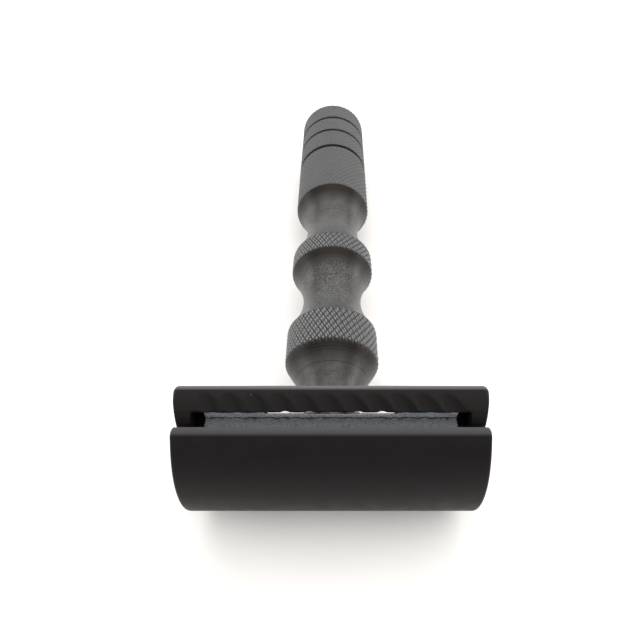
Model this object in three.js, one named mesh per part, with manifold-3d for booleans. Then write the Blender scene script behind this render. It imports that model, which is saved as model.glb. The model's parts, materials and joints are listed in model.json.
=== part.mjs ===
// A three-piece double-edge safety razor, lying on the long edge of its head and the rim of its tail.
//
// Every piece is drawn upright in the razor's own axes and the whole group is then laid down:
//   x  along the head's length
//   y  along the handle's axis, 0 at the plane of the cap's long edges, growing towards the tail
//   z  across the head, from the handle's axis towards one cutting edge
// Lengths are millimetres.

import * as THREE from 'three';
import { mergeVertices } from 'three/addons/utils/BufferGeometryUtils.js';
import Module from 'manifold-3d';

const wasm = await Module();
wasm.setup();

// ---------------------------------------------------------------- driving dimensions

const GAP = 0.3; // clearance between neighbouring pieces
const HEAD_LENGTH = 43.2;
const HALF_HEAD = HEAD_LENGTH / 2;

// blade: 22 mm wide steel strip, bent to an arc by the cap
const BLADE_WIDTH = 22;
const BLADE_LENGTH = 42.7;
const BLADE_THICK = 0.1;
const BLADE_BEND_R = 18.3;
const BLADE_EDGE_Y = 0.75;
const BLADE_TAB_WIDTH = 13.6;
const BLADE_EDGE_LENGTH = 37.4;
const BLADE_CORNER = 1.4;
const BLADE_SLOT_HALF_LENGTH = 17;
const BLADE_SLOT_HALF_WIDTH = 1;
const BLADE_HALF_ANGLE = BLADE_WIDTH / 2 / BLADE_BEND_R;
const BEND_CENTRE_Y = BLADE_EDGE_Y + BLADE_BEND_R * Math.cos(BLADE_HALF_ANGLE);

// cap: a crescent, crowned on the outside and hollowed by the blade's arc on the inside
const CAP_HALF_WIDTH = 11.05;
const CAP_CROWN_Y = -5.55;
const CAP_CROWN_R = 13.55;
const CAP_LIP_Z = 10.5; // where the crown's arc ends and the rounded lip begins
const CAP_LIP = [ // outline of the lip, from the crown round to the hollow, as [y, z]
  [-0.3, 10.78], [-0.02, 10.97], [0.22, 11.05], [0.42, 11.02], [0.54, 10.9], [0.56, 10.72],
];
const CAP_CORNER_R = 0.7;
const CAP_SOCKET_DEPTH = 1.4;

// threaded stud, M5 x 0.8
const STUD_R = 2.5;
const THREAD_PITCH = 0.8;
const THREAD_DEPTH = 0.45;
const STUD_TIP_Y = 13.6;
const STUD_CHAMFER = 0.5;
const THREAD_CREST = 0.16; // widths along y of the crest, the sloped flank and the root
const THREAD_SLOPE = 0.26;
const THREAD_ROOT = 0.16;
const STUD_HOLE_R = STUD_R + 0.5;

// locating posts that pass through the blade and the base plate
const POST_R = 1.25;
const POST_X = 13.5;
const POST_TIP_Y = 4.4;
const POST_HOLE_R = POST_R + GAP;
const POST_CHAMFER = 0.5;

// base plate
const BAR_OUTER_Z = 12.6;
const BAR_INNER_Z = 11.5;
const BAR_FRONT_Y = 2.3;
const BAR_ROUND_Y = 4.5; // where the bar's rounded front meets its flat outside
const PLATE_BACK_Y = 6.5;
const PLATE_FLOOR_Y = 5; // bottom of the recess in the back
const PLATE_FRONT_HALF_LENGTH = 21;
const PLATE_BACK_HALF_LENGTH = 22;
const WEB_FRONT_Y = 2.5; // bottom of the gutters beside the bed
const FLANK_Z = 9.8;
const FLANK_HALF_LENGTH = 17.4;
const CHEEK_INNER_X = 19;
const END_CAVITY_Y = 4.2;
const END_CAVITY_Z = 7.6;
const DRAIN_HALF_LENGTH = 9.2;
const DRAIN_INNER_Z = 10.85;
const DRAIN_LIP = 0.3; // thickness left in front of the wider pocket behind each drain slot
const POCKET_INNER_Z = 4.1;
const POCKET_OUTER_Z = 11;
const BOSS_R = 5.2;
const PLATE_EDGE_R = 0.9;
const PLATE_TAPER_Y = 1; // where the plate's ends start to widen towards its back
const RECESS_Z = 11.3;
const RECESS_X = 19.6;
const FLUTE_COUNT = 11;
const FLUTE_PITCH = 3.3;
const FLUTE_DEPTH = 0.53; // at the bar's front edge, fading out towards its back
const FLUTE_FRONT_Z = 11.45; // bottom of a flute at the bar's front edge
const FLUTE_TILT = THREE.MathUtils.degToRad(28);
const FLUTE_FADE = THREE.MathUtils.degToRad(22);

// handle, turned from bar: knurled collars with waists between them
const BAR_R = 8.25;
const HANDLE_FRONT_Y = PLATE_BACK_Y + GAP;
const HANDLE_FRONT_R = 4.8;
const WAISTS = [ // bell is how far the flare swells beyond a plain parabola, from 0 to 1
  { from: HANDLE_FRONT_Y, waist: 11, to: 19, r: 4.4, bell: 0.5 },
  { from: 25, waist: 33.4, to: 41.8, r: 5.5, bell: 0 },
  { from: 45.3, waist: 54.4, to: 62.9, r: 5.45, bell: 0 },
];
const COLLAR_CHAMFER = 0.3;
const STUD_BORE_END_Y = 16;
const SPIGOT_R = 4;
const SPIGOT_LENGTH = 8;

// tail: three grooves and the joint between the handle and its end knob
const JOINT_GROOVE_Y = 78.7;
const JOINT_GROOVE_WIDTH = 1.2;
const GROOVES_Y = [86.3, 92.7];
const GROOVE_WIDTH = 1.0;
const GROOVE_DEPTH = 0.9;
const TAIL_Y = 99.7;
const TAIL_CHAMFER = 0.45;

const ROUND = 40; // facets of a large turned surface
const SMALL_ROUND = 20; // facets of a pin or a hole

// ---------------------------------------------------------------- solids and booleans

function solid(geometry) {
  const bare = geometry.clone();
  bare.deleteAttribute('normal');
  bare.deleteAttribute('uv');
  const merged = mergeVertices(bare, 1e-4);
  const index = Array.from(merged.index.array);
  const kept = [];
  for (let i = 0; i < index.length; i += 3) {
    const [a, b, c] = index.slice(i, i + 3);
    if (a !== b && b !== c && c !== a) kept.push(a, b, c);
  }
  return new wasm.Manifold(new wasm.Mesh({
    numProp: 3,
    vertProperties: new Float32Array(merged.attributes.position.array),
    triVerts: new Uint32Array(kept),
  }));
}

function geometryOf(manifold) {
  const { vertProperties, triVerts } = manifold.getMesh();
  const geometry = new THREE.BufferGeometry();
  geometry.setAttribute('position', new THREE.BufferAttribute(new Float32Array(vertProperties), 3));
  geometry.setIndex(new THREE.BufferAttribute(new Uint32Array(triVerts), 1));
  geometry.computeVertexNormals();
  return geometry;
}

// a block between two corners
function block(x0, x1, y0, y1, z0, z1) {
  const geometry = new THREE.BoxGeometry(x1 - x0, y1 - y0, z1 - z0);
  return solid(geometry.translate((x0 + x1) / 2, (y0 + y1) / 2, (z0 + z1) / 2));
}

// a round rod along y, centred on (x, z)
function rod(radius, y0, y1, x = 0, z = 0, facets = SMALL_ROUND) {
  const geometry = new THREE.CylinderGeometry(radius, radius, y1 - y0, facets);
  return solid(geometry.translate(x, (y0 + y1) / 2, z));
}

// an outline of [y, z] points, carried along x
function alongX(points, length) {
  const shape = new THREE.Shape(points.map(([y, z]) => new THREE.Vector2(y, z)));
  const geometry = new THREE.ExtrudeGeometry(shape, { depth: length, bevelEnabled: false, steps: 1 });
  geometry.translate(0, 0, -length / 2);
  const turn = new THREE.Matrix4().makeBasis(
    new THREE.Vector3(0, 1, 0),
    new THREE.Vector3(0, 0, 1),
    new THREE.Vector3(1, 0, 0),
  );
  return solid(geometry.applyMatrix4(turn));
}

// an outline of [x, y] points, carried along z
function alongZ(points, length) {
  const shape = new THREE.Shape(points.map(([x, y]) => new THREE.Vector2(x, y)));
  const geometry = new THREE.ExtrudeGeometry(shape, { depth: length, bevelEnabled: false, steps: 1 });
  return solid(geometry.translate(0, 0, -length / 2));
}

// an outline in x and z, carried along y
function alongY(shape, y0, y1) {
  const geometry = new THREE.ExtrudeGeometry(shape, {
    depth: y1 - y0,
    bevelEnabled: false,
    steps: 1,
    curveSegments: 6,
  });
  return solid(geometry.rotateX(Math.PI / 2).translate(0, y1, 0));
}

function roundedRectangle(halfX, halfZ, radius) {
  const shape = new THREE.Shape();
  shape.absarc(halfX - radius, halfZ - radius, radius, 0, Math.PI / 2);
  shape.absarc(radius - halfX, halfZ - radius, radius, Math.PI / 2, Math.PI);
  shape.absarc(radius - halfX, radius - halfZ, radius, Math.PI, 1.5 * Math.PI);
  shape.absarc(halfX - radius, radius - halfZ, radius, 1.5 * Math.PI, 2 * Math.PI);
  shape.closePath();
  return shape;
}

function turned(profile, facets = ROUND) {
  return solid(new THREE.LatheGeometry(profile.map(([r, y]) => new THREE.Vector2(r, y)), facets));
}

// points [y, z] of an arc about (centreY, 0), from angle a to angle b off the -y direction
function arc(centreY, radius, a, b, steps) {
  const points = [];
  for (let i = 0; i <= steps; i += 1) {
    const angle = a + ((b - a) * i) / steps;
    points.push([centreY - radius * Math.cos(angle), radius * Math.sin(angle)]);
  }
  return points;
}

// the blade's arc moved off its middle surface: negative towards the cap, positive towards the bed
function bladeArc(offset, halfWidth, steps = 24) {
  const radius = BLADE_BEND_R - offset;
  const angle = Math.asin(halfWidth / radius);
  return arc(BEND_CENTRE_Y, radius, -angle, angle, steps);
}

// ---------------------------------------------------------------- head

function topCap() {
  const angle = Math.asin(CAP_LIP_Z / CAP_CROWN_R);
  const crown = arc(CAP_CROWN_Y + CAP_CROWN_R, CAP_CROWN_R, -angle, angle, 36);
  const hollow = bladeArc(-BLADE_THICK / 2 - GAP, CAP_LIP_Z);
  const otherLip = CAP_LIP.map(([y, z]) => [y, -z]).reverse();
  const section = [...crown, ...CAP_LIP, ...hollow.reverse(), ...otherLip];
  const outline = roundedRectangle(HALF_HEAD, CAP_HALF_WIDTH, CAP_CORNER_R);
  const socketFloor = hollowDepth(0) - CAP_SOCKET_DEPTH;
  let cap = alongX(section, HEAD_LENGTH).intersect(alongY(outline, CAP_CROWN_Y - 1, 2));
  cap = cap.subtract(rod(STUD_R + GAP, socketFloor, 2));
  for (const x of [-POST_X, POST_X]) {
    cap = cap.subtract(rod(POST_HOLE_R, socketFloor, 2, x));
  }
  return cap;
}

// where the cap's inside surface lies at a distance z from the handle's axis
function hollowDepth(z) {
  return BEND_CENTRE_Y - Math.sqrt((BLADE_BEND_R + BLADE_THICK / 2 + GAP) ** 2 - z ** 2);
}

// a right-hand thread: a strip of crest, flank, root and flank wound round the axis, its rows climbing
// one pitch in each turn, then trimmed to length with chamfered ends
function threadedStud() {
  const start = hollowDepth(0) - CAP_SOCKET_DEPTH + GAP;
  const rowsPerTurn = 4;
  const around = 24;
  const turns = Math.ceil((STUD_TIP_Y - start) / THREAD_PITCH) + 3;
  const rows = turns * rowsPerTurn;
  const rowR = [STUD_R, STUD_R, STUD_R - THREAD_DEPTH, STUD_R - THREAD_DEPTH];
  const rowY = [0, THREAD_CREST, THREAD_CREST + THREAD_SLOPE, THREAD_CREST + THREAD_SLOPE + THREAD_ROOT];
  const positions = [];
  for (let j = 0; j <= rows; j += 1) {
    for (let i = 0; i < around; i += 1) {
      const angle = (2 * Math.PI * i) / around;
      const climb = (Math.floor(j / rowsPerTurn) + i / around) * THREAD_PITCH;
      const y = start - 2 * THREAD_PITCH + climb + rowY[j % rowsPerTurn];
      const r = rowR[j % rowsPerTurn];
      positions.push(r * Math.sin(angle), y, r * Math.cos(angle));
    }
  }
  const at = (i, j) => (i === around ? (j + rowsPerTurn) * around : j * around + i);
  const faces = [];
  for (let i = 0; i < around; i += 1) {
    const last = i === around - 1 ? rows - rowsPerTurn : rows;
    for (let j = 0; j < last; j += 1) {
      faces.push(at(i, j), at(i + 1, j), at(i + 1, j + 1));
      faces.push(at(i, j), at(i + 1, j + 1), at(i, j + 1));
    }
  }
  const lowLoop = [];
  const highLoop = [];
  for (let i = 0; i < around; i += 1) {
    lowLoop.push(at(i, 0));
    highLoop.push(at(i, rows));
  }
  for (let j = rowsPerTurn; j > 0; j -= 1) lowLoop.push(at(0, j));
  for (let j = 1; j <= rowsPerTurn; j += 1) highLoop.push(at(around - 1, rows - j));
  const low = positions.length / 3;
  const high = low + 1;
  positions.push(0, start - 2 * THREAD_PITCH, 0);
  positions.push(0, start + (turns - 2) * THREAD_PITCH, 0);
  lowLoop.forEach((v, k) => faces.push(low, lowLoop[(k + 1) % lowLoop.length], v));
  highLoop.forEach((v, k) => faces.push(high, v, highLoop[(k + 1) % highLoop.length]));
  const geometry = new THREE.BufferGeometry();
  geometry.setAttribute('position', new THREE.Float32BufferAttribute(positions, 3));
  geometry.setIndex(faces);
  const core = STUD_R - THREAD_DEPTH;
  const envelope = turned([
    [0, start],
    [core, start],
    [STUD_R + 0.1, start + STUD_CHAMFER],
    [STUD_R + 0.1, STUD_TIP_Y - STUD_CHAMFER],
    [core, STUD_TIP_Y],
    [0, STUD_TIP_Y],
  ], around);
  return solid(geometry).intersect(envelope);
}

function locatingPost(x) {
  const start = hollowDepth(0) - CAP_SOCKET_DEPTH + GAP;
  const geometry = new THREE.LatheGeometry([
    new THREE.Vector2(0, start),
    new THREE.Vector2(POST_R, start),
    new THREE.Vector2(POST_R, POST_TIP_Y - POST_CHAMFER),
    new THREE.Vector2(POST_R - POST_CHAMFER, POST_TIP_Y),
    new THREE.Vector2(0, POST_TIP_Y),
  ], SMALL_ROUND);
  return solid(geometry.translate(x, 0, 0));
}

// a double-edge blade: full width along its cutting edges, narrower tabs at the ends, one long slot
// with round openings for the stud and the posts
function blade() {
  const outer = bladeArc(-BLADE_THICK / 2, BLADE_BEND_R * Math.sin(BLADE_HALF_ANGLE));
  const inner = bladeArc(BLADE_THICK / 2, BLADE_BEND_R * Math.sin(BLADE_HALF_ANGLE));
  const halfEdge = BLADE_EDGE_LENGTH / 2;
  const halfTab = BLADE_TAB_WIDTH / 2;
  const outline = new THREE.Shape();
  outline.moveTo(-halfEdge, -12);
  outline.lineTo(halfEdge, -12);
  outline.lineTo(halfEdge, -halfTab - BLADE_CORNER);
  outline.lineTo(BLADE_LENGTH / 2, -halfTab);
  outline.lineTo(BLADE_LENGTH / 2, halfTab);
  outline.lineTo(halfEdge, halfTab + BLADE_CORNER);
  outline.lineTo(halfEdge, 12);
  outline.lineTo(-halfEdge, 12);
  outline.lineTo(-halfEdge, halfTab + BLADE_CORNER);
  outline.lineTo(-BLADE_LENGTH / 2, halfTab);
  outline.lineTo(-BLADE_LENGTH / 2, -halfTab);
  outline.lineTo(-halfEdge, -halfTab - BLADE_CORNER);
  outline.closePath();
  let strip = alongX([...outer, ...inner.reverse()], BLADE_LENGTH + 2).intersect(alongY(outline, -4, 4));
  strip = strip.subtract(block(
    -BLADE_SLOT_HALF_LENGTH, BLADE_SLOT_HALF_LENGTH, -4, 4, -BLADE_SLOT_HALF_WIDTH, BLADE_SLOT_HALF_WIDTH,
  ));
  strip = strip.subtract(rod(STUD_HOLE_R, -4, 4));
  for (const x of [-POST_X, POST_X]) {
    strip = strip.subtract(rod(POST_HOLE_R, -4, 4, x));
  }
  return strip;
}

// the base plate's section: the bed's arc, then over each bar to the flat back
function plateOutline() {
  const bed = bladeArc(BLADE_THICK / 2 + GAP, FLANK_Z);
  const front = bed[bed.length - 1][0];
  const edge = [];
  for (const degrees of [20, 38, 54, 68, 80, 90]) {
    const angle = THREE.MathUtils.degToRad(degrees);
    edge.push([
      BAR_ROUND_Y - (BAR_ROUND_Y - front) * Math.cos(angle),
      FLANK_Z + (BAR_OUTER_Z - FLANK_Z) * Math.sin(angle),
    ]);
  }
  for (const degrees of [0, 22.5, 45, 67.5, 90]) {
    const angle = THREE.MathUtils.degToRad(degrees);
    edge.push([
      PLATE_BACK_Y - PLATE_EDGE_R * (1 - Math.sin(angle)),
      BAR_OUTER_Z - PLATE_EDGE_R * (1 - Math.cos(angle)),
    ]);
  }
  const mirrored = edge.map(([y, z]) => [y, -z]).reverse();
  return [...bed, ...edge, ...mirrored];
}

// one side's gutter, cut between the bed's flank and the bar
function gutter(side) {
  const z0 = side > 0 ? FLANK_Z : -BAR_INNER_Z;
  const z1 = side > 0 ? BAR_INNER_Z : -FLANK_Z;
  return block(-CHEEK_INNER_X, CHEEK_INNER_X, -3, WEB_FRONT_Y, z0, z1);
}

// the bar carries a wave only between the cheeks, so its front corner is trimmed back there
function barTrim(side) {
  const z0 = side > 0 ? BAR_INNER_Z - 0.01 : -BAR_OUTER_Z - 1;
  const z1 = side > 0 ? BAR_OUTER_Z + 1 : 0.01 - BAR_INNER_Z;
  return block(-CHEEK_INNER_X, CHEEK_INNER_X, -3, BAR_FRONT_Y, z0, z1);
}

// shallow slanted flutes across the outside of one bar
function flutes(side) {
  const halfWidth = (FLUTE_PITCH * 0.94 * Math.cos(FLUTE_TILT)) / 2;
  const radius = (halfWidth ** 2 + FLUTE_DEPTH ** 2) / (2 * FLUTE_DEPTH);
  const tool = new THREE.CylinderGeometry(radius, radius, 16, 48);
  tool.rotateX(FLUTE_FADE);
  tool.rotateZ(FLUTE_TILT);
  tool.translate(0, BAR_FRONT_Y, FLUTE_FRONT_Z + radius / Math.cos(FLUTE_FADE));
  if (side < 0) tool.rotateY(Math.PI);
  let cut = null;
  for (let i = 0; i < FLUTE_COUNT; i += 1) {
    const x = (i - (FLUTE_COUNT - 1) / 2) * FLUTE_PITCH;
    const one = solid(tool.clone().translate(x, 0, 0));
    cut = cut ? cut.add(one) : one;
  }
  return cut;
}

// the long drain slot beside one bar: a narrow mouth in the gutter, with a wider pocket behind it
function drainSlot(side) {
  const cut = (innerZ, outerZ, y0, y1) => {
    const halfHeight = (outerZ - innerZ) / 2;
    const shape = roundedRectangle(DRAIN_HALF_LENGTH, halfHeight, Math.min(0.8 * halfHeight, 1));
    return alongY(shape, y0, y1).translate([0, 0, (side * (outerZ + innerZ)) / 2]);
  };
  const mouth = cut(DRAIN_INNER_Z, BAR_INNER_Z, WEB_FRONT_Y - 0.6, WEB_FRONT_Y + DRAIN_LIP + 0.2);
  return mouth.add(cut(POCKET_INNER_Z, POCKET_OUTER_Z, WEB_FRONT_Y + DRAIN_LIP, PLATE_BACK_Y + 1));
}

function basePlate() {
  const corners = roundedRectangle(PLATE_BACK_HALF_LENGTH, BAR_OUTER_Z, 0.9);
  const ends = [
    [-PLATE_FRONT_HALF_LENGTH, -4],
    [PLATE_FRONT_HALF_LENGTH, -4],
    [PLATE_FRONT_HALF_LENGTH, PLATE_TAPER_Y],
    [PLATE_BACK_HALF_LENGTH, PLATE_BACK_Y - PLATE_EDGE_R],
    [PLATE_BACK_HALF_LENGTH - PLATE_EDGE_R, PLATE_BACK_Y],
    [PLATE_EDGE_R - PLATE_BACK_HALF_LENGTH, PLATE_BACK_Y],
    [-PLATE_BACK_HALF_LENGTH, PLATE_BACK_Y - PLATE_EDGE_R],
    [-PLATE_FRONT_HALF_LENGTH, PLATE_TAPER_Y],
  ];
  let plate = alongX(plateOutline(), 2 * PLATE_BACK_HALF_LENGTH);
  plate = plate.intersect(alongY(corners, -4, PLATE_BACK_Y + 1)).intersect(alongZ(ends, 3 * BAR_OUTER_Z));
  const recess = alongY(roundedRectangle(RECESS_X, RECESS_Z, 1.5), PLATE_FLOOR_Y, PLATE_BACK_Y + 1);
  plate = plate.subtract(recess);
  for (const side of [1, -1]) {
    plate = plate.subtract(gutter(side));
    plate = plate.subtract(barTrim(side));
    plate = plate.subtract(flutes(side));
    plate = plate.subtract(drainSlot(side));
    const z0 = side > 0 ? END_CAVITY_Z : -BAR_INNER_Z;
    const z1 = side > 0 ? BAR_INNER_Z : -END_CAVITY_Z;
    plate = plate.subtract(block(FLANK_HALF_LENGTH, CHEEK_INNER_X, -4, END_CAVITY_Y, z0, z1));
    plate = plate.subtract(block(-CHEEK_INNER_X, -FLANK_HALF_LENGTH, -4, END_CAVITY_Y, z0, z1));
  }
  plate = plate.add(rod(BOSS_R, WEB_FRONT_Y, PLATE_BACK_Y, 0, 0, ROUND));
  plate = plate.subtract(rod(STUD_HOLE_R, -4, PLATE_BACK_Y + 1));
  for (const x of [-POST_X, POST_X]) {
    plate = plate.subtract(rod(POST_HOLE_R, -4, PLATE_BACK_Y + 1, x));
  }
  return plate;
}

// ---------------------------------------------------------------- handle

// radius of a waist: narrowest in the middle and flared like a trumpet to the bar at both ends
function waistRadius({ from, waist, to, r, bell }, y) {
  const reach = y < waist ? waist - from : to - waist;
  const share = Math.min(1, Math.abs(y - waist) / reach);
  const rim = y < waist && from === HANDLE_FRONT_Y ? HANDLE_FRONT_R : BAR_R;
  const swell = (1 - Math.cos(Math.PI * share)) / 2;
  return r + (rim - r) * ((1 - bell) * share ** 2 + bell * swell);
}

function waistPoints(waist, steps) {
  const points = [];
  for (let i = 0; i <= steps; i += 1) {
    const y = waist.from + ((waist.to - waist.from) * i) / steps;
    points.push([waistRadius(waist, y), y]);
  }
  return points;
}

function handleBody() {
  const end = JOINT_GROOVE_Y - GAP / 2;
  const floor = BAR_R - GROOVE_DEPTH;
  const boreR = STUD_R + GAP;
  const spigotBoreEnd = end - SPIGOT_LENGTH - 2 * GAP;
  const outside = WAISTS.flatMap((waist) => waistPoints(waist, 14));
  return turned([
    [0, STUD_BORE_END_Y],
    [boreR, STUD_BORE_END_Y],
    [boreR, HANDLE_FRONT_Y],
    ...outside,
    [BAR_R, JOINT_GROOVE_Y - JOINT_GROOVE_WIDTH / 2 - COLLAR_CHAMFER],
    [BAR_R - COLLAR_CHAMFER, JOINT_GROOVE_Y - JOINT_GROOVE_WIDTH / 2],
    [floor, JOINT_GROOVE_Y - JOINT_GROOVE_WIDTH / 2],
    [floor, end],
    [SPIGOT_R + GAP, end],
    [SPIGOT_R + GAP, spigotBoreEnd],
    [0, spigotBoreEnd],
  ]);
}

function groovePoints(centre) {
  const half = GROOVE_WIDTH / 2;
  const floor = BAR_R - GROOVE_DEPTH;
  return [
    [BAR_R, centre - half - COLLAR_CHAMFER / 2],
    [BAR_R - COLLAR_CHAMFER, centre - half],
    [floor, centre - half / 2],
    [floor, centre + half / 2],
    [BAR_R - COLLAR_CHAMFER, centre + half],
    [BAR_R, centre + half + COLLAR_CHAMFER / 2],
  ];
}

function tailKnob() {
  const start = JOINT_GROOVE_Y + GAP / 2;
  const floor = BAR_R - GROOVE_DEPTH;
  return turned([
    [0, start - SPIGOT_LENGTH],
    [SPIGOT_R - 0.4, start - SPIGOT_LENGTH],
    [SPIGOT_R, start - SPIGOT_LENGTH + 0.4],
    [SPIGOT_R, start],
    [floor, start],
    [floor, JOINT_GROOVE_Y + JOINT_GROOVE_WIDTH / 2],
    [BAR_R - COLLAR_CHAMFER, JOINT_GROOVE_Y + JOINT_GROOVE_WIDTH / 2],
    [BAR_R, JOINT_GROOVE_Y + JOINT_GROOVE_WIDTH / 2 + COLLAR_CHAMFER],
    ...GROOVES_Y.flatMap(groovePoints),
    [BAR_R, TAIL_Y - TAIL_CHAMFER],
    [BAR_R - TAIL_CHAMFER, TAIL_Y],
    [0, TAIL_Y],
  ]);
}

// ---------------------------------------------------------------- assembly

const coated = { color: 0x232122, roughness: 0.55, metalness: 0.4 };
const turnedMetal = { color: 0x4a4a4b, roughness: 0.5, metalness: 0.5 };
const steel = { color: 0xb4b6b8, roughness: 0.3, metalness: 0.95 };

function piece(name, manifold, look) {
  const mesh = new THREE.Mesh(geometryOf(manifold), new THREE.MeshStandardMaterial(look));
  mesh.name = name;
  return mesh;
}

const razor = new THREE.Group();
razor.add(
  piece('top_cap', topCap(), coated),
  piece('threaded_stud', threadedStud(), steel),
  piece('locating_post_left', locatingPost(-POST_X), steel),
  piece('locating_post_right', locatingPost(POST_X), steel),
  piece('blade', blade(), steel),
  piece('base_plate', basePlate(), coated),
  piece('handle_body', handleBody(), turnedMetal),
  piece('tail_knob', tailKnob(), turnedMetal),
);

// laid down until the lower bar and the tail's lower rim touch one plane
const restSpan = TAIL_Y - TAIL_CHAMFER - (PLATE_BACK_Y - PLATE_EDGE_R);
razor.rotation.x = -Math.atan2(BAR_OUTER_Z - BAR_R, restSpan);

const part = new THREE.Group();
part.add(razor);
part.updateMatrixWorld(true);
const box = new THREE.Box3().setFromObject(part, true);
razor.position.set(0, -(box.min.y + box.max.y) / 2, -box.min.z);

export default part;
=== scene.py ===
"""A matte black three-piece safety razor lying on a pale table.

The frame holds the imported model. The knurled handle, its tail knob, the cap and the base plate get finer
meshes that stand for their CAD nodes. The blade, the stud and the two posts keep their CAD shape and get
their finish here. Shapes are drawn in millimetres in the razor's own axes, and place() puts them in the frame:
    x  along the head,  y  along the handle from the head to the tail,  z  across the head, upwards as it lies
"""

import json
import math

import bmesh
import bpy
import numpy as np
from mathutils import Matrix, Vector


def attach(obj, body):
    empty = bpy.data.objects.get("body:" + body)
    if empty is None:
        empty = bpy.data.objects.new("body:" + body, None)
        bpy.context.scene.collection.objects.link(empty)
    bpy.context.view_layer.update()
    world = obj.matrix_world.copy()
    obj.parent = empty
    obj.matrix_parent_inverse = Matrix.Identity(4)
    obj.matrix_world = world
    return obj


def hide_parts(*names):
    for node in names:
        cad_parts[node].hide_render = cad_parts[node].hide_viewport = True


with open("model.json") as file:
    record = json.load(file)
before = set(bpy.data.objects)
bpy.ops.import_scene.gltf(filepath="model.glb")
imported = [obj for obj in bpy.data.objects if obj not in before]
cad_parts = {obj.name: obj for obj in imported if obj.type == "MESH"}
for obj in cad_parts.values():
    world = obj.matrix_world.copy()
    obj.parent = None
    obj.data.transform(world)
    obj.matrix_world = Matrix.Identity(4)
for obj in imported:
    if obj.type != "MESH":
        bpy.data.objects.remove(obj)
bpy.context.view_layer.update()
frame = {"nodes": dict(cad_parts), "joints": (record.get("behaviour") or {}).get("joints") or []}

MM = 0.001
SHARP_ANGLE = math.radians(24)

# ---------------------------------------------------- the razor's own axes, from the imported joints

HEAD_TURN = next(j for j in frame["joints"] if j["name"] == "head_turn")
ORIGIN = Vector(HEAD_TURN["pos_m"])
AXIS_X = Vector((1.0, 0.0, 0.0))
AXIS_Y = -Vector(HEAD_TURN["axis"]).normalized()
AXIS_Z = AXIS_X.cross(AXIS_Y)
TO_FRAME = np.array([AXIS_X, AXIS_Y, AXIS_Z])

# ---------------------------------------------------------------- dimensions, in millimetres

HEAD_LENGTH = 43.2
CAP_CROWN_Y = -5.55
CAP_CROWN_R = 13.55
CAP_LIP_Z = 10.5
CAP_LIP = (  # outline of the lip between the crown and the hollow, as (y, z)
    (-0.44, 10.65), (-0.27, 10.8), (-0.1, 10.91), (0.07, 10.99), (0.24, 11.04), (0.38, 11.03), (0.48, 10.98),
    (0.54, 10.89), (0.56, 10.78), (0.55, 10.67), (0.52, 10.57),
)
CAP_CORNER_R = 0.7
CAP_END_R = 0.5
CAP_ACROSS = 97
CAP_ALONG = 40
CAP_END_ROWS = 9
CAP_FRONT_SOFT = 1.0  # how far each side of the cap draws in where an end is softened, per mm of inset
CAP_BACK_SOFT = 0.35
CAP_WIDTH_SOFT = 0.3
BLADE_BEND_R = 18.3
BLADE_WIDTH = 22.0
BLADE_EDGE_Y = 0.75
BLADE_TO_CAP = 0.35
BEND_CENTRE_Y = BLADE_EDGE_Y + BLADE_BEND_R * math.cos(BLADE_WIDTH / 2 / BLADE_BEND_R)

BAR_R = 8.25
HANDLE_FRONT_Y = 6.8
HANDLE_FRONT_R = 4.8
STUD_BORE_R = 2.8
STUD_BORE_END_Y = 16.0
WAISTS = ((6.8, 11.0, 19.0, 4.4, 0.5), (25.0, 33.4, 41.8, 5.5, 0.0), (45.3, 54.4, 62.9, 5.45, 0.0))
GRIP_Y = 58.0  # between the two collars' knurl and the grip's
JOINT_Y = 78.7
JOINT_WIDTH = 1.2
JOINT_GAP = 0.3
GROOVES_Y = (86.3, 92.7)
GROOVE_WIDTH = 1.0
GROOVE_DEPTH = 0.9
TAIL_Y = 99.7
TAIL_CHAMFER = 0.45
TAIL_FACE_RINGS = (6.0, 4.0, 2.0, 0.05)
SPIGOT_R = 4.0

KNURL_TEETH = 45
KNURL_LEADS = (2.15, 1.52)  # along the handle, for the grooves that lean left and for those that lean right
KNURL_DEPTH = 0.4
KNURL_GRIP_DEPTH = 0.32
KNURL_FLAT = 0.3  # how much of the pitch a crest keeps flat, as a share
KNURL_BETWEEN = 0.88  # depth of the left-leaning grooves between the deep ones, as a share
KNURL_CHAMFER = 0.06
AROUND = KNURL_TEETH * 10
KNURL_STEP = 0.25
WAIST_STEP = 0.6
RIM_ZONE = 0.7
RIM_STEP = 0.12
GROOVE_STEP = 0.08
EDGE = 0.1  # small chamfers at the handle's joint
SEAT_CHAMFER = 0.2
POINT_R = 0.05  # the smallest row, next to the axis
TOOL_LINES = (  # (y, half width, strength)
    (17.9, 0.16, 0.9), (17.4, 0.1, 0.8), (17.0, 0.08, 0.7), (15.4, 0.1, 0.6), (56.8, 0.12, 0.6),
)

FLANK_Z = 9.8
FLANK_HALF_LENGTH = 17.4
SEAM_Z = 10.05
BAR_INNER_Z = 11.5
GUTTER_Y = 2.5
PLATE_BACK_Y = 6.5
PLATE_VOXEL = 0.12
PLATE_SMOOTH_ROUNDS = 11
PLATE_KEPT_FACES = 0.3


def place(points):
    """Millimetres in the razor's own axes to metres in the frame."""
    return np.asarray(points, float) * MM @ TO_FRAME + np.array(ORIGIN)


# ---------------------------------------------------------------- meshes

def mesh_object(name, points, faces, smooth=True):
    mesh = bpy.data.meshes.new(name)
    mesh.from_pydata(np.asarray(points, float).tolist(), [], faces)
    mesh.validate()
    mesh.update()
    if smooth:
        mesh.shade_smooth()
        mesh.set_sharp_from_angle(angle=SHARP_ANGLE)
    made = bpy.data.objects.new(name, mesh)
    bpy.context.scene.collection.objects.link(made)
    return made


def add_value(made, name, values):
    """A number at each vertex, for the materials to read."""
    layer = made.data.attributes.new(name, "FLOAT", "POINT")
    layer.data.foreach_set("value", np.asarray(values, np.float32))


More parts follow.
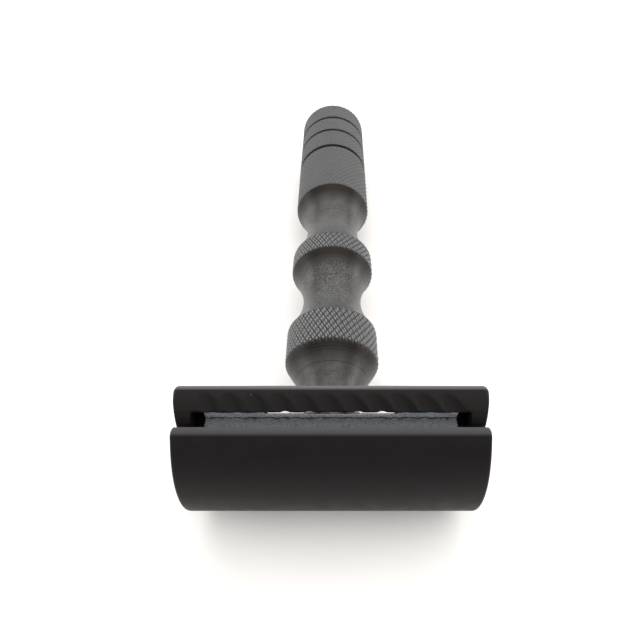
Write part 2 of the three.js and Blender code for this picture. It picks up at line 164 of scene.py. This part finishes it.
def tube_faces(rows, around):
    """Quads of a tube of rows of points, closed round, with a fan to a point beyond each end."""
    faces = []
    for j in range(rows - 1):
        low, high = j * around, (j + 1) * around
        for i in range(around):
            k = (i + 1) % around
            faces.append((low + i, high + i, high + k, low + k))
    first, last = rows * around, rows * around + 1
    top = (rows - 1) * around
    for i in range(around):
        k = (i + 1) % around
        faces.append((first, i, k))
        faces.append((last, top + k, top + i))
    return faces


def knurl(angle, y):
    """Height of the diamond knurl, from 0 in its grooves to 1 on its crests."""
    turn = angle * KNURL_TEETH / (2 * math.pi)
    past_rim = y - WAISTS[0][2]
    one = np.abs((turn + past_rim / KNURL_LEADS[0]) % 1.0 - 0.5) * 2
    other = np.abs((turn - past_rim / KNURL_LEADS[1] + 0.5) % 1.0 - 0.5) * 2
    between = KNURL_BETWEEN * (1 - one)
    height = 1 - np.maximum(np.maximum(one, between), other)
    return np.clip(height / (1 - KNURL_FLAT), 0, 1)


def turned_piece(name, profile):
    """A turned solid from rows of (radius, y, knurled), starting and ending on the axis.

    The knurl's grooves run out into the flares beside a band, which gives the band its toothed rim.
    """
    angle = np.arange(AROUND) * 2 * math.pi / AROUND
    points, crest = [], []
    for radius, y, knurled in profile:
        height = knurl(angle, y)
        depth = KNURL_DEPTH if y < GRIP_Y else KNURL_GRIP_DEPTH
        cut = BAR_R - depth * (1 - height)
        r = np.minimum(radius, cut)
        points.append(np.stack([r * np.sin(angle), np.full(AROUND, y), r * np.cos(angle)], 1))
        crest.append(np.where((cut < radius) | knurled, height, -1.0))
    ends = np.array([[0, profile[0][1], 0], [0, profile[-1][1], 0]])
    made = mesh_object(name, place(np.vstack(points + [ends])), tube_faces(len(profile), AROUND))
    add_value(made, "crest", np.concatenate(crest + [np.full(2, -1.0)]))
    return made


def rows_between(start, end, step, radius, knurled):
    """Rows from start to end, with the radius given by a function of y."""
    count = max(1, round((end - start) / step))
    return [(radius(y), y, knurled) for y in np.linspace(start, end, count + 1)]


def band(start, end):
    """A knurled band with a small chamfer at each end."""

    def radius(y):
        edge = min(y - start, end - y)
        return BAR_R - KNURL_CHAMFER * max(0.0, 1 - edge / KNURL_CHAMFER)

    return rows_between(start, end, KNURL_STEP, radius, True)


def waist(start, middle, end, smallest, bell):
    """A waist flared to the bar at both ends, or to the seat at the handle's front. bell swells the flare."""

    def radius(y):
        reach = middle - start if y < middle else end - middle
        share = min(1.0, abs(y - middle) / reach)
        rim = HANDLE_FRONT_R if y < middle and start == HANDLE_FRONT_Y else BAR_R
        swell = (1 - math.cos(math.pi * share)) / 2
        return smallest + (rim - smallest) * ((1 - bell) * share**2 + bell * swell)

    near, far = start + RIM_ZONE, end - RIM_ZONE
    rows = rows_between(start, near, RIM_STEP, radius, False)
    rows += rows_between(near, far, WAIST_STEP, radius, False)[1:-1]
    return rows + rows_between(far, end, RIM_STEP, radius, False)


def groove(centre):
    """Round-bottomed groove between two bands."""
    half = GROOVE_WIDTH / 2

    def radius(y):
        return BAR_R - GROOVE_DEPTH * math.sqrt(max(0.0, 1 - ((y - centre) / half) ** 4))

    return rows_between(centre - half, centre + half, GROOVE_STEP, radius, False)


def handle_rows():
    floor = BAR_R - GROOVE_DEPTH
    shoulder = JOINT_Y - JOINT_WIDTH / 2
    end = JOINT_Y - JOINT_GAP / 2
    rows = [(POINT_R, STUD_BORE_END_Y, False), (STUD_BORE_R, STUD_BORE_END_Y, False)]
    rows += [(STUD_BORE_R, HANDLE_FRONT_Y + SEAT_CHAMFER, False)]
    rows += [(STUD_BORE_R + SEAT_CHAMFER, HANDLE_FRONT_Y, False)]
    rows += [(HANDLE_FRONT_R - SEAT_CHAMFER, HANDLE_FRONT_Y, False)]
    rows += waist(*WAISTS[0]) + band(WAISTS[0][2], WAISTS[1][0])
    rows += waist(*WAISTS[1]) + band(WAISTS[1][2], WAISTS[2][0])
    rows += waist(*WAISTS[2]) + band(WAISTS[2][2], shoulder)
    rows += [(floor + EDGE, shoulder, False), (floor, shoulder + EDGE, False), (floor, end, False)]
    rows += [(SPIGOT_R + JOINT_GAP, end, False), (POINT_R, end - POINT_R, False)]
    return rows


def tail_rows():
    floor = BAR_R - GROOVE_DEPTH
    shoulder = JOINT_Y + JOINT_WIDTH / 2
    start = JOINT_Y + JOINT_GAP / 2
    half = GROOVE_WIDTH / 2
    near, far = GROOVES_Y
    rows = [(POINT_R, start, False), (floor, start, False), (floor, shoulder - EDGE, False)]
    rows += [(floor + EDGE, shoulder, False)] + band(shoulder, near - half)
    rows += groove(near) + band(near + half, far - half)
    rows += groove(far) + band(far + half, TAIL_Y - TAIL_CHAMFER + KNURL_CHAMFER)
    rows += [(BAR_R - TAIL_CHAMFER, TAIL_Y - 0.05, False), (BAR_R - TAIL_CHAMFER - 0.15, TAIL_Y, False)]
    rows += [(radius, TAIL_Y, False) for radius in TAIL_FACE_RINGS]
    return rows


def cap_section(x, inset):
    """The crescent's outline at x, as [x, y, z] points: crown, lip, hollow, lip. inset softens the ends."""
    across = np.sin(np.linspace(-math.pi / 2, math.pi / 2, CAP_ACROSS))
    over = max(0.0, abs(x) - (HEAD_LENGTH / 2 - CAP_CORNER_R))
    shrink = CAP_CORNER_R - math.sqrt(max(0.0, CAP_CORNER_R**2 - over**2)) + CAP_WIDTH_SOFT * inset
    z = across * (CAP_LIP_Z - shrink)
    hollow_r = BLADE_BEND_R + BLADE_TO_CAP
    front = CAP_CROWN_Y + CAP_CROWN_R - np.sqrt(CAP_CROWN_R**2 - z**2) + CAP_FRONT_SOFT * inset
    back = BEND_CENTRE_Y - np.sqrt(hollow_r**2 - z**2) - CAP_BACK_SOFT * inset
    lip = np.array(CAP_LIP)
    full_front = CAP_CROWN_Y + CAP_CROWN_R - math.sqrt(CAP_CROWN_R**2 - CAP_LIP_Z**2)
    full_back = BEND_CENTRE_Y - math.sqrt(hollow_r**2 - CAP_LIP_Z**2)
    share = (lip[:, 0] - full_front) / (full_back - full_front)
    lip_y = front[-1] + (back[-1] - front[-1]) * share
    lip_z = lip[:, 1] - shrink
    y = np.concatenate([front, lip_y, back[::-1], lip_y[::-1]])
    zz = np.concatenate([z, lip_z, z[::-1], -lip_z[::-1]])
    return np.stack([np.full(len(y), x), y, zz], 1)


def cap_end(base):
    """Faces that close one end: a strip between crown and hollow, and a face across each lip."""
    hollow = base + CAP_ACROSS + len(CAP_LIP)
    last = hollow + CAP_ACROSS - 1
    around = 2 * (CAP_ACROSS + len(CAP_LIP))
    faces = []
    for i in range(CAP_ACROSS - 1):
        faces.append((base + i, last - i, last - i - 1, base + i + 1))
    faces.append(tuple(range(base + CAP_ACROSS - 1, hollow + 1)))
    faces.append((base, *range(base + around - 1, last - 1, -1)))
    return faces


def top_cap():
    """The crescent of the cap, lofted along x, with rounded lips, rounded corners and softened ends."""
    half = HEAD_LENGTH / 2
    line = []
    for turn in np.linspace(math.pi / 2, 0, CAP_END_ROWS):
        line.append((half - CAP_END_R * (1 - math.sin(turn)), CAP_END_R * (1 - math.cos(turn))))
    line += [(x, 0.0) for x in np.linspace(half - CAP_END_R, 0, CAP_ALONG)[1:]]
    line += [(-x, inset) for x, inset in reversed(line[:-1])]
    loops = [cap_section(x, inset) for x, inset in line]
    around, count = len(loops[0]), len(loops)
    faces = []
    for j in range(count - 1):
        for i in range(around):
            k = (i + 1) % around
            faces.append((j * around + i, j * around + k, (j + 1) * around + k, (j + 1) * around + i))
    faces += cap_end(0) + cap_end((count - 1) * around)
    made = mesh_object("cap_shell", place(np.vstack(loops)), faces)
    recalculate(made)
    return made


def recalculate(made):
    work = bmesh.new()
    work.from_mesh(made.data)
    bmesh.ops.recalc_face_normals(work, faces=work.faces)
    work.to_mesh(made.data)
    work.free()
    made.data.update()


def softened(node, name, voxel, rounds):
    """A node's shape with all its edges softened, as a cast and blasted part has them."""
    source = frame["nodes"][node]
    mesh = source.data.copy()
    mesh.transform(Matrix.Scale(1 / MM, 4))
    work = bpy.data.objects.new(name, mesh)
    bpy.context.scene.collection.objects.link(work)
    remesh = work.modifiers.new("skin", "REMESH")
    remesh.mode = "VOXEL"
    remesh.voxel_size = voxel
    smooth = work.modifiers.new("soften", "SMOOTH")
    smooth.factor = 0.5
    smooth.iterations = rounds
    thin = work.modifiers.new("thin", "DECIMATE")
    thin.ratio = PLATE_KEPT_FACES
    bpy.context.view_layer.update()
    final = bpy.data.meshes.new_from_object(work.evaluated_get(bpy.context.evaluated_depsgraph_get()))
    final.transform(Matrix.Scale(MM, 4))
    final.materials.clear()
    work.modifiers.clear()
    work.data = final
    final.name = name
    final.shade_smooth()
    return work


# ---------------------------------------------------------------- materials

DUST_SHARE = 0.035
DUST_CELL = 1.1
DUST_TONE = (0.12, 0.12, 0.125)

CAP_DARK, CAP_LIGHT = (0.0064, 0.0053, 0.0053), (0.0082, 0.0068, 0.0068)
# painted highlight: the cap's rounded lips are painted lighter
CAP_LIP_HIGHLIGHT = (0.062, 0.061, 0.063)
PLATE_DARK, PLATE_LIGHT = (0.006, 0.0046, 0.0044), (0.0085, 0.0067, 0.0065)
# painted highlight: the rounded back edge of the plate's bars is painted lighter
PLATE_BACK_HIGHLIGHT = (0.1, 0.098, 0.1)
FLANK_TONE = (0.128, 0.134, 0.144)
FLANK_PAINTED_FILL_GAIN = 3  # the gutter in front of the flank has this many times the flank's tone, a painted fill light where it lies in the bar's shade
CRACK_TONE = (0.025, 0.025, 0.027)

TURNED_DARK, TURNED_LIGHT = (0.055, 0.053, 0.051), (0.08, 0.078, 0.076)
TURNED_METALLIC = 0.7
# painted shade on each flare next to its rim
FLARE_SHADE_TONE = (0.012, 0.009, 0.0065)
FLARE_FULL = 1.5  # the flare's painted shade is complete this far before the rim
SCRIBED_TONE = (0.004, 0.004, 0.004)
PIT_TONE = (0.012, 0.012, 0.012)
SPECK_TONE = (0.15, 0.15, 0.15)
OUTER_WAIST_GRAIN = 0.25  # the speckle of the first and last waist, as a share of the middle one's
# painted highlight tones for the knurl's crests, lighter on the collars than on the grip
COLLAR_CREST, GRIP_CREST = (0.2, 0.2, 0.202), (0.068, 0.068, 0.07)
# painted shade tone for the knurl's grooves
GROOVE_SHADE_TONE = (0.008, 0.008, 0.008)
GRIP_GROOVE_SHADE = 0.55  # how much of the grooves' painted shade the grip has
RINGS_PER_MM = 7.0

STEEL_DRAWN = 12.0  # how many times longer than wide the drawn lines are
STEEL_LOW = 0.82  # the tone between the lines, as a share
FLOOR_DARK, FLOOR_LIGHT = (0.935, 0.91, 0.885), (0.955, 0.93, 0.905)


class Nodes:
    """A material's nodes, with short ways to add and join them."""

    def __init__(self, name):
        self.material = bpy.data.materials.new(name)
        self.material.use_nodes = True
        self.tree = self.material.node_tree
        self.shader = self.tree.nodes["Principled BSDF"]
        place_node = self.add("ShaderNodeTexCoord")
        self.position = place_node.outputs["Object"]

    def add(self, kind, **settings):
        node = self.tree.nodes.new(kind)
        for key, value in settings.items():
            setattr(node, key, value)
        return node

    def join(self, source, target):
        self.tree.links.new(source, target)

    def noise(self, size_mm, detail=2.0, roughness=0.5, stretch=1.0):
        """Noise with lumps of this size, longer along x when stretched."""
        scaled = self.add("ShaderNodeMapping")
        scaled.inputs["Scale"].default_value = (1 / stretch, 1.0, 1.0)
        self.join(self.position, scaled.inputs["Vector"])
        node = self.add("ShaderNodeTexNoise")
        node.inputs["Scale"].default_value = 1 / (size_mm * MM)
        node.inputs["Detail"].default_value = detail
        node.inputs["Roughness"].default_value = roughness
        self.join(scaled.outputs["Vector"], node.inputs["Vector"])
        return node.outputs["Fac"]

    def math(self, operation, a, b=0.0, c=0.0, clamp=False):
        node = self.add("ShaderNodeMath", operation=operation, use_clamp=clamp)
        for socket, value in zip(node.inputs, (a, b, c)):
            if isinstance(value, bpy.types.NodeSocket):
                self.join(value, socket)
            else:
                socket.default_value = value
        return node.outputs[0]

    def ramp(self, factor, stops):
        node = self.add("ShaderNodeValToRGB")
        ramp = node.color_ramp
        while len(ramp.elements) < len(stops):
            ramp.elements.new(0.5)
        for element, (at, colour) in zip(ramp.elements, stops):
            element.position = at
            element.color = (*colour, 1.0)
        self.join(factor, node.inputs["Fac"])
        return node.outputs["Color"]

    def span(self, value, low, high, to_low, to_high):
        node = self.add("ShaderNodeMapRange", clamp=True)
        self.join(value, node.inputs["Value"])
        node.inputs["From Min"].default_value = low
        node.inputs["From Max"].default_value = high
        node.inputs["To Min"].default_value = to_low
        node.inputs["To Max"].default_value = to_high
        return node.outputs["Result"]

    def mix(self, factor, a, b):
        node = self.add("ShaderNodeMix", data_type="RGBA")
        self.join(factor, node.inputs["Factor"])
        for socket, value in ((node.inputs[6], a), (node.inputs[7], b)):
            if isinstance(value, bpy.types.NodeSocket):
                self.join(value, socket)
            else:
                socket.default_value = (*value, 1.0)
        return node.outputs[2]

    def local(self, axis):
        """Millimetres along one of the razor's own axes."""
        moved = self.add("ShaderNodeVectorMath", operation="SUBTRACT")
        self.join(self.position, moved.inputs[0])
        moved.inputs[1].default_value = ORIGIN
        dot = self.add("ShaderNodeVectorMath", operation="DOT_PRODUCT")
        self.join(moved.outputs[0], dot.inputs[0])
        dot.inputs[1].default_value = {"x": AXIS_X, "y": AXIS_Y, "z": AXIS_Z}[axis] / MM
        return dot.outputs["Value"]

    def bump(self, heights):
        """Chains bumps given as (height socket, depth in millimetres)."""
        normal = None
        for height, depth in heights:
            node = self.add("ShaderNodeBump")
            node.inputs["Strength"].default_value = 1.0
            node.inputs["Distance"].default_value = depth * MM
            self.join(height, node.inputs["Height"])
            if normal is not None:
                self.join(normal, node.inputs["Normal"])
            normal = node.outputs["Normal"]
        self.join(normal, self.shader.inputs["Normal"])


def dust(nodes, share):
    """Sparse pale specks of dust a few hundredths of a millimetre across: 0 or 1."""
    cells = nodes.add("ShaderNodeTexVoronoi", feature="F1")
    cells.inputs["Scale"].default_value = 1 / (DUST_CELL * MM)
    nodes.join(nodes.position, cells.inputs["Vector"])
    near = nodes.math("LESS_THAN", cells.outputs["Distance"], 0.07)
    pick = nodes.add("ShaderNodeSeparateColor")
    nodes.join(cells.outputs["Color"], pick.inputs["Color"])
    chosen = nodes.math("LESS_THAN", pick.outputs["Red"], share)
    return nodes.math("MULTIPLY", near, chosen)


def flank_mask(nodes):
    """1 on the bed's flanks and in the gutters beside them, where the coating is thin and rough; the gutters
    also get a painted fill light.
    """
    x = nodes.local("x")
    y = nodes.local("y")
    z = nodes.math("ABSOLUTE", nodes.local("z"))
    uneven = nodes.math("MULTIPLY", nodes.math("SUBTRACT", nodes.noise(0.5, detail=3.0), 0.5), 0.5)
    inside_x = nodes.math("LESS_THAN", nodes.math("ABSOLUTE", x), FLANK_HALF_LENGTH + 0.1)
    inside_z = nodes.math("LESS_THAN", z, BAR_INNER_Z - 0.12)
    outside_bed = nodes.span(nodes.math("ADD", z, uneven), FLANK_Z - 0.5, FLANK_Z - 0.15, 0.0, 1.0)
    before_pocket = nodes.math("LESS_THAN", y, GUTTER_Y + 0.15)
    box = nodes.math("MULTIPLY", nodes.math("MULTIPLY", inside_x, inside_z), before_pocket)
    return nodes.math("MULTIPLY", box, outside_bed)


def lip_highlight(nodes):
    """1 on the cap's two rounded lips, which get a painted highlight."""
    return nodes.span(nodes.math("ABSOLUTE", nodes.local("z")), CAP_LIP_Z - 0.05, CAP_LIP_Z + 0.3, 0.0, 1.0)


def back_edge_highlight(nodes):
    """1 on the rounded edge between the base plate's bars and its back, which gets a painted highlight."""
    return nodes.span(nodes.local("y"), PLATE_BACK_Y - 1.2, PLATE_BACK_Y - 0.75, 0.0, 1.0)


def flank_with_painted_fill(nodes, tone):
    """The flanks' thin coating, with pores and one wavering dark seam; the gutter is painted brighter, a
    painted fill light.
    """
    across = nodes.math("ABSOLUTE", nodes.local("z"))
    # painted fill light: the gutter in front of the flank is painted brighter
    front = nodes.span(across, FLANK_Z + 0.05, FLANK_Z + 0.35, 0.0, 1.0)
    lit = nodes.mix(front, tone, tuple(FLANK_PAINTED_FILL_GAIN * c for c in tone))
    pores = nodes.span(nodes.noise(0.16, detail=3.0, roughness=0.7, stretch=1.6), 0.36, 0.52, 0.8, 0.0)
    wander = nodes.math("MULTIPLY", nodes.math("SUBTRACT", nodes.noise(0.9, detail=4.0), 0.5), 0.7)
    away = nodes.math("ABSOLUTE", nodes.math("ADD", nodes.math("SUBTRACT", across, SEAM_Z), wander))
    cracks = nodes.math("MAXIMUM", pores, nodes.span(away, 0.05, 0.2, 1.0, 0.0))
    return nodes.mix(cracks, lit, CRACK_TONE)


def coating(name, dark, light, grain_mm, grain_depth, specular, highlight_mask, tone, flank=None):
    """A fine-grained matte black coating with a slight mottle, a little dust and a painted highlight on one
    rounded edge.
    """
    nodes = Nodes(name)
    mottle = nodes.noise(2.5, detail=3.0)
    grain = nodes.noise(grain_mm, detail=2.0, roughness=0.6)
    both = nodes.math("ADD", nodes.math("MULTIPLY", mottle, 0.6), nodes.math("MULTIPLY", grain, 0.4))
    base = nodes.ramp(both, [(0.35, dark), (0.65, light)])
    # painted highlight along one rounded edge
    base = nodes.mix(highlight_mask(nodes), base, tone)
    colour = nodes.mix(dust(nodes, DUST_SHARE), base, DUST_TONE)
    if flank:
        colour = nodes.mix(flank_mask(nodes), colour, flank_with_painted_fill(nodes, flank))
    nodes.join(colour, nodes.shader.inputs["Base Color"])
    nodes.join(nodes.span(both, 0.35, 0.65, 0.45, 0.56), nodes.shader.inputs["Roughness"])
    nodes.shader.inputs["Specular IOR Level"].default_value = specular
    nodes.bump([(grain, grain_depth), (mottle, 0.012)])
    return nodes.material


def flare_shade(nodes, along):
    """Grows from 0 to 1 up each flare to its rim, where painted shade darkens it."""
    shade = None
    for _, middle, end, _, _ in WAISTS:
        rise = nodes.span(along, (middle + end) / 2, end - FLARE_FULL, 0.0, 1.0)
        one = nodes.math("MULTIPLY", rise, nodes.math("LESS_THAN", along, end + 0.1))
        shade = one if shade is None else nodes.math("MAXIMUM", shade, one)
    return shade


def scribed(nodes, along):
    """1 on the few deeper lines that the turning tool left on the waists."""
    lines = None
    for place_y, half_width, strength in TOOL_LINES:
        away = nodes.math("ABSOLUTE", nodes.math("SUBTRACT", along, place_y))
        one = nodes.span(away, 0.0, half_width, strength, 0.0)
        lines = one if lines is None else nodes.math("MAXIMUM", lines, one)
    return lines


def handle_coating():
    """Satin black over turned metal: rings on the waists, pits, a painted highlight on the knurl's crests,
    painted shade in its grooves and up the flares.
    """
    nodes = Nodes("handle_coating")
    along = nodes.local("y")
    crest = nodes.add("ShaderNodeAttribute", attribute_name="crest").outputs["Fac"]
    knurled = nodes.math("GREATER_THAN", crest, -0.5)
    rings = nodes.add("ShaderNodeTexNoise", noise_dimensions="1D")
    rings.inputs["Scale"].default_value = RINGS_PER_MM
    rings.inputs["Detail"].default_value = 3.0
    nodes.join(along, rings.inputs["W"])
    mottle = nodes.noise(1.6, detail=3.0)
    grain = nodes.noise(0.12, detail=2.0, roughness=0.6)
    cells = nodes.add("ShaderNodeTexVoronoi", feature="F1")
    cells.inputs["Scale"].default_value = 1 / (0.7 * MM)
    nodes.join(nodes.position, cells.inputs["Vector"])
    pits = nodes.span(cells.outputs["Distance"], 0.08, 0.2, 0.0, 1.0)
    smooth = nodes.math("SUBTRACT", 1.0, knurled)
    base = nodes.ramp(mottle, [(0.3, TURNED_DARK), (0.7, TURNED_LIGHT)])
    # painted shade up the flares towards the rims
    shade = nodes.math("MULTIPLY", flare_shade(nodes, along), smooth)
    base = nodes.mix(shade, base, FLARE_SHADE_TONE)
    lines = scribed(nodes, along)
    base = nodes.mix(nodes.math("MULTIPLY", lines, smooth), base, SCRIBED_TONE)
    # painted highlight on the knurl's crests
    highlight_mask = nodes.math("MULTIPLY", nodes.span(crest, 0.15, 0.6, 0.0, 1.0), knurled)
    blasted = nodes.noise(0.24, detail=1.0)
    rise = nodes.span(along, WAISTS[0][2], WAISTS[1][0], OUTER_WAIST_GRAIN, 1.0)
    fall = nodes.span(along, WAISTS[1][2], WAISTS[2][0], 1.0, OUTER_WAIST_GRAIN)
    grainy = nodes.math("MULTIPLY", nodes.math("MULTIPLY", rise, fall), smooth)
    speckle = nodes.math("MULTIPLY", nodes.span(blasted, 0.58, 0.7, 0.0, 0.6), grainy)
    speckle = nodes.math("SUBTRACT", speckle, shade, clamp=True)
    pitted = nodes.math("MULTIPLY", nodes.span(blasted, 0.36, 0.46, 0.9, 0.0), grainy)
    base = nodes.mix(pitted, base, PIT_TONE)
    # the crests' painted highlight is lighter on the collars than on the grip
    on_collars = nodes.math("LESS_THAN", along, GRIP_Y)
    crest_tone = nodes.mix(on_collars, GRIP_CREST, COLLAR_CREST)
    colour = nodes.mix(highlight_mask, nodes.mix(speckle, base, SPECK_TONE), crest_tone)
    # painted shade in the knurl's grooves, weaker on the grip
    fill = nodes.math("MULTIPLY_ADD", on_collars, 1 - GRIP_GROOVE_SHADE, GRIP_GROOVE_SHADE)
    groove_shade = nodes.math("MULTIPLY", nodes.span(crest, 0.15, 0.6, 1.0, 0.0), fill)
    colour = nodes.mix(nodes.math("MULTIPLY", groove_shade, knurled), colour, GROOVE_SHADE_TONE)
    nodes.join(nodes.math("MULTIPLY", smooth, TURNED_METALLIC), nodes.shader.inputs["Metallic"])
    nodes.join(colour, nodes.shader.inputs["Base Color"])
    rough = nodes.math("MULTIPLY_ADD", rings.outputs["Fac"], 0.12, 0.32)
    rough = nodes.math("MULTIPLY_ADD", knurled, 0.1, rough)
    nodes.join(rough, nodes.shader.inputs["Roughness"])
    nodes.shader.inputs["Specular IOR Level"].default_value = 0.5
    ring_height = nodes.math("MULTIPLY", rings.outputs["Fac"], smooth)
    pit_height = nodes.math("MAXIMUM", pits, knurled)
    nodes.bump([(ring_height, 0.04), (pit_height, 0.03), (grain, 0.01)])
    return nodes.material


def steel(name, colour, roughness, line_mm):
    """Bare machined steel with fine drawn lines."""
    nodes = Nodes(name)
    stretched = nodes.add("ShaderNodeMapping")
    stretched.inputs["Scale"].default_value = (1.0, STEEL_DRAWN, STEEL_DRAWN)
    nodes.join(nodes.position, stretched.inputs["Vector"])
    lines = nodes.add("ShaderNodeTexNoise")
    lines.inputs["Scale"].default_value = 1 / (line_mm * STEEL_DRAWN * MM)
    lines.inputs["Detail"].default_value = 3.0
    nodes.join(stretched.outputs["Vector"], lines.inputs["Vector"])
    low = tuple(c * STEEL_LOW for c in colour)
    nodes.join(nodes.ramp(lines.outputs["Fac"], [(0.3, low), (0.7, colour)]),
               nodes.shader.inputs["Base Color"])
    nodes.join(nodes.span(lines.outputs["Fac"], 0.3, 0.7, roughness, roughness + 0.1),
               nodes.shader.inputs["Roughness"])
    nodes.shader.inputs["Metallic"].default_value = 1.0
    nodes.bump([(lines.outputs["Fac"], 0.004)])
    return nodes.material


def floor_material():
    nodes = Nodes("floor_paper")
    soft = nodes.noise(60.0, detail=2.0)
    fine = nodes.noise(0.8, detail=2.0)
    nodes.join(nodes.ramp(soft, [(0.3, FLOOR_DARK), (0.7, FLOOR_LIGHT)]), nodes.shader.inputs["Base Color"])
    nodes.shader.inputs["Roughness"].default_value = 0.8
    nodes.bump([(fine, 0.02)])
    return nodes.material


def dress(made, material):
    made.data.materials.clear()
    made.data.materials.append(material)


# ---------------------------------------------------------------- stage, light and camera

def table_top():
    side = 1.2
    points = [(-side, -side, 0), (side, -side, 0), (side, side, 0), (-side, side, 0)]
    made = mesh_object("table_top", points, [(0, 1, 2, 3)], smooth=False)
    dress(made, floor_material())


def area_light(name, where, size, power):
    """A rectangular lamp aimed at the middle of the frame. Metres and watts."""
    data = bpy.data.lights.new(name, "AREA")
    data.shape = "RECTANGLE"
    data.size, data.size_y = size
    data.energy = power
    made = bpy.data.objects.new(name, data)
    made.location = where
    made.rotation_mode = "QUATERNION"
    made.rotation_quaternion = (-Vector(where)).to_track_quat("-Z", "Y")
    bpy.context.scene.collection.objects.link(made)


def lights():
    world = bpy.data.worlds.new("studio")
    bpy.context.scene.world = world
    world.use_nodes = True
    background = world.node_tree.nodes["Background"]
    background.inputs["Color"].default_value = (1.0, 0.995, 0.99, 1.0)
    background.inputs["Strength"].default_value = 0.5
    area_light("overhead", (0.05, 0.12, 0.7), (1.4, 1.4), 9.0)
    area_light("behind", (0.0, 0.9, 0.3), (1.4, 0.5), 5.0)
    area_light("left", (-0.8, 0.05, 0.2), (0.8, 0.35), 3.0)
    area_light("right", (0.8, 0.05, 0.2), (0.8, 0.35), 3.0)


LENS_MM = 28.67
SENSOR_MM = 36.0
CAMERA_SPOT = (0.5, -34.3, 71.5)
CAMERA_DIP = math.radians(48.24)
SHIFT_X = -14.7 / 640


def camera():
    """Above and in front of the cap, looking down the handle."""
    data = bpy.data.cameras.new("camera")
    data.lens = LENS_MM
    data.sensor_width = SENSOR_MM
    data.shift_x = SHIFT_X
    data.clip_start, data.clip_end = 0.005, 10
    made = bpy.data.objects.new("camera", data)
    forward = AXIS_Y * math.cos(CAMERA_DIP) - AXIS_Z * math.sin(CAMERA_DIP)
    up = AXIS_Y * math.sin(CAMERA_DIP) + AXIS_Z * math.cos(CAMERA_DIP)
    basis = Matrix((AXIS_X, up, -forward)).transposed()
    made.matrix_world = Matrix.Translation(Vector(place([CAMERA_SPOT])[0])) @ basis.to_4x4()
    bpy.context.scene.collection.objects.link(made)
    bpy.context.scene.camera = made


# ---------------------------------------------------------------- assembly

def stands_for(made, node, body, material):
    dress(made, material)
    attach(made, body)
    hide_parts(node)


table_top()
lights()
camera()

cap_black = coating("cap_coating", CAP_DARK, CAP_LIGHT, 0.1, 0.006, 0.14, lip_highlight, CAP_LIP_HIGHLIGHT)
plate_black = coating("plate_coating", PLATE_DARK, PLATE_LIGHT, 0.14, 0.012, 0.1, back_edge_highlight, PLATE_BACK_HIGHLIGHT,
                      flank=FLANK_TONE)
handle_black = handle_coating()
stud_steel = steel("stud_steel", (0.5, 0.5, 0.51), 0.28, 0.15)
blade_steel = steel("blade_steel", (0.5, 0.51, 0.52), 0.3, 0.1)

handle = turned_piece("handle_turned", handle_rows())
tail = turned_piece("tail_turned", tail_rows())
stands_for(handle, "handle_body", "handle", handle_black)
stands_for(tail, "tail_knob", "handle", handle_black)
stands_for(top_cap(), "top_cap", "cap", cap_black)
plate = softened("base_plate", "plate_cast", PLATE_VOXEL, PLATE_SMOOTH_ROUNDS)
stands_for(plate, "base_plate", "plate", plate_black)

for node in ("threaded_stud", "locating_post_left", "locating_post_right"):
    dress(frame["nodes"][node], stud_steel)
dress(frame["nodes"]["blade"], blade_steel)

bpy.context.scene.view_settings.view_transform = "Standard"
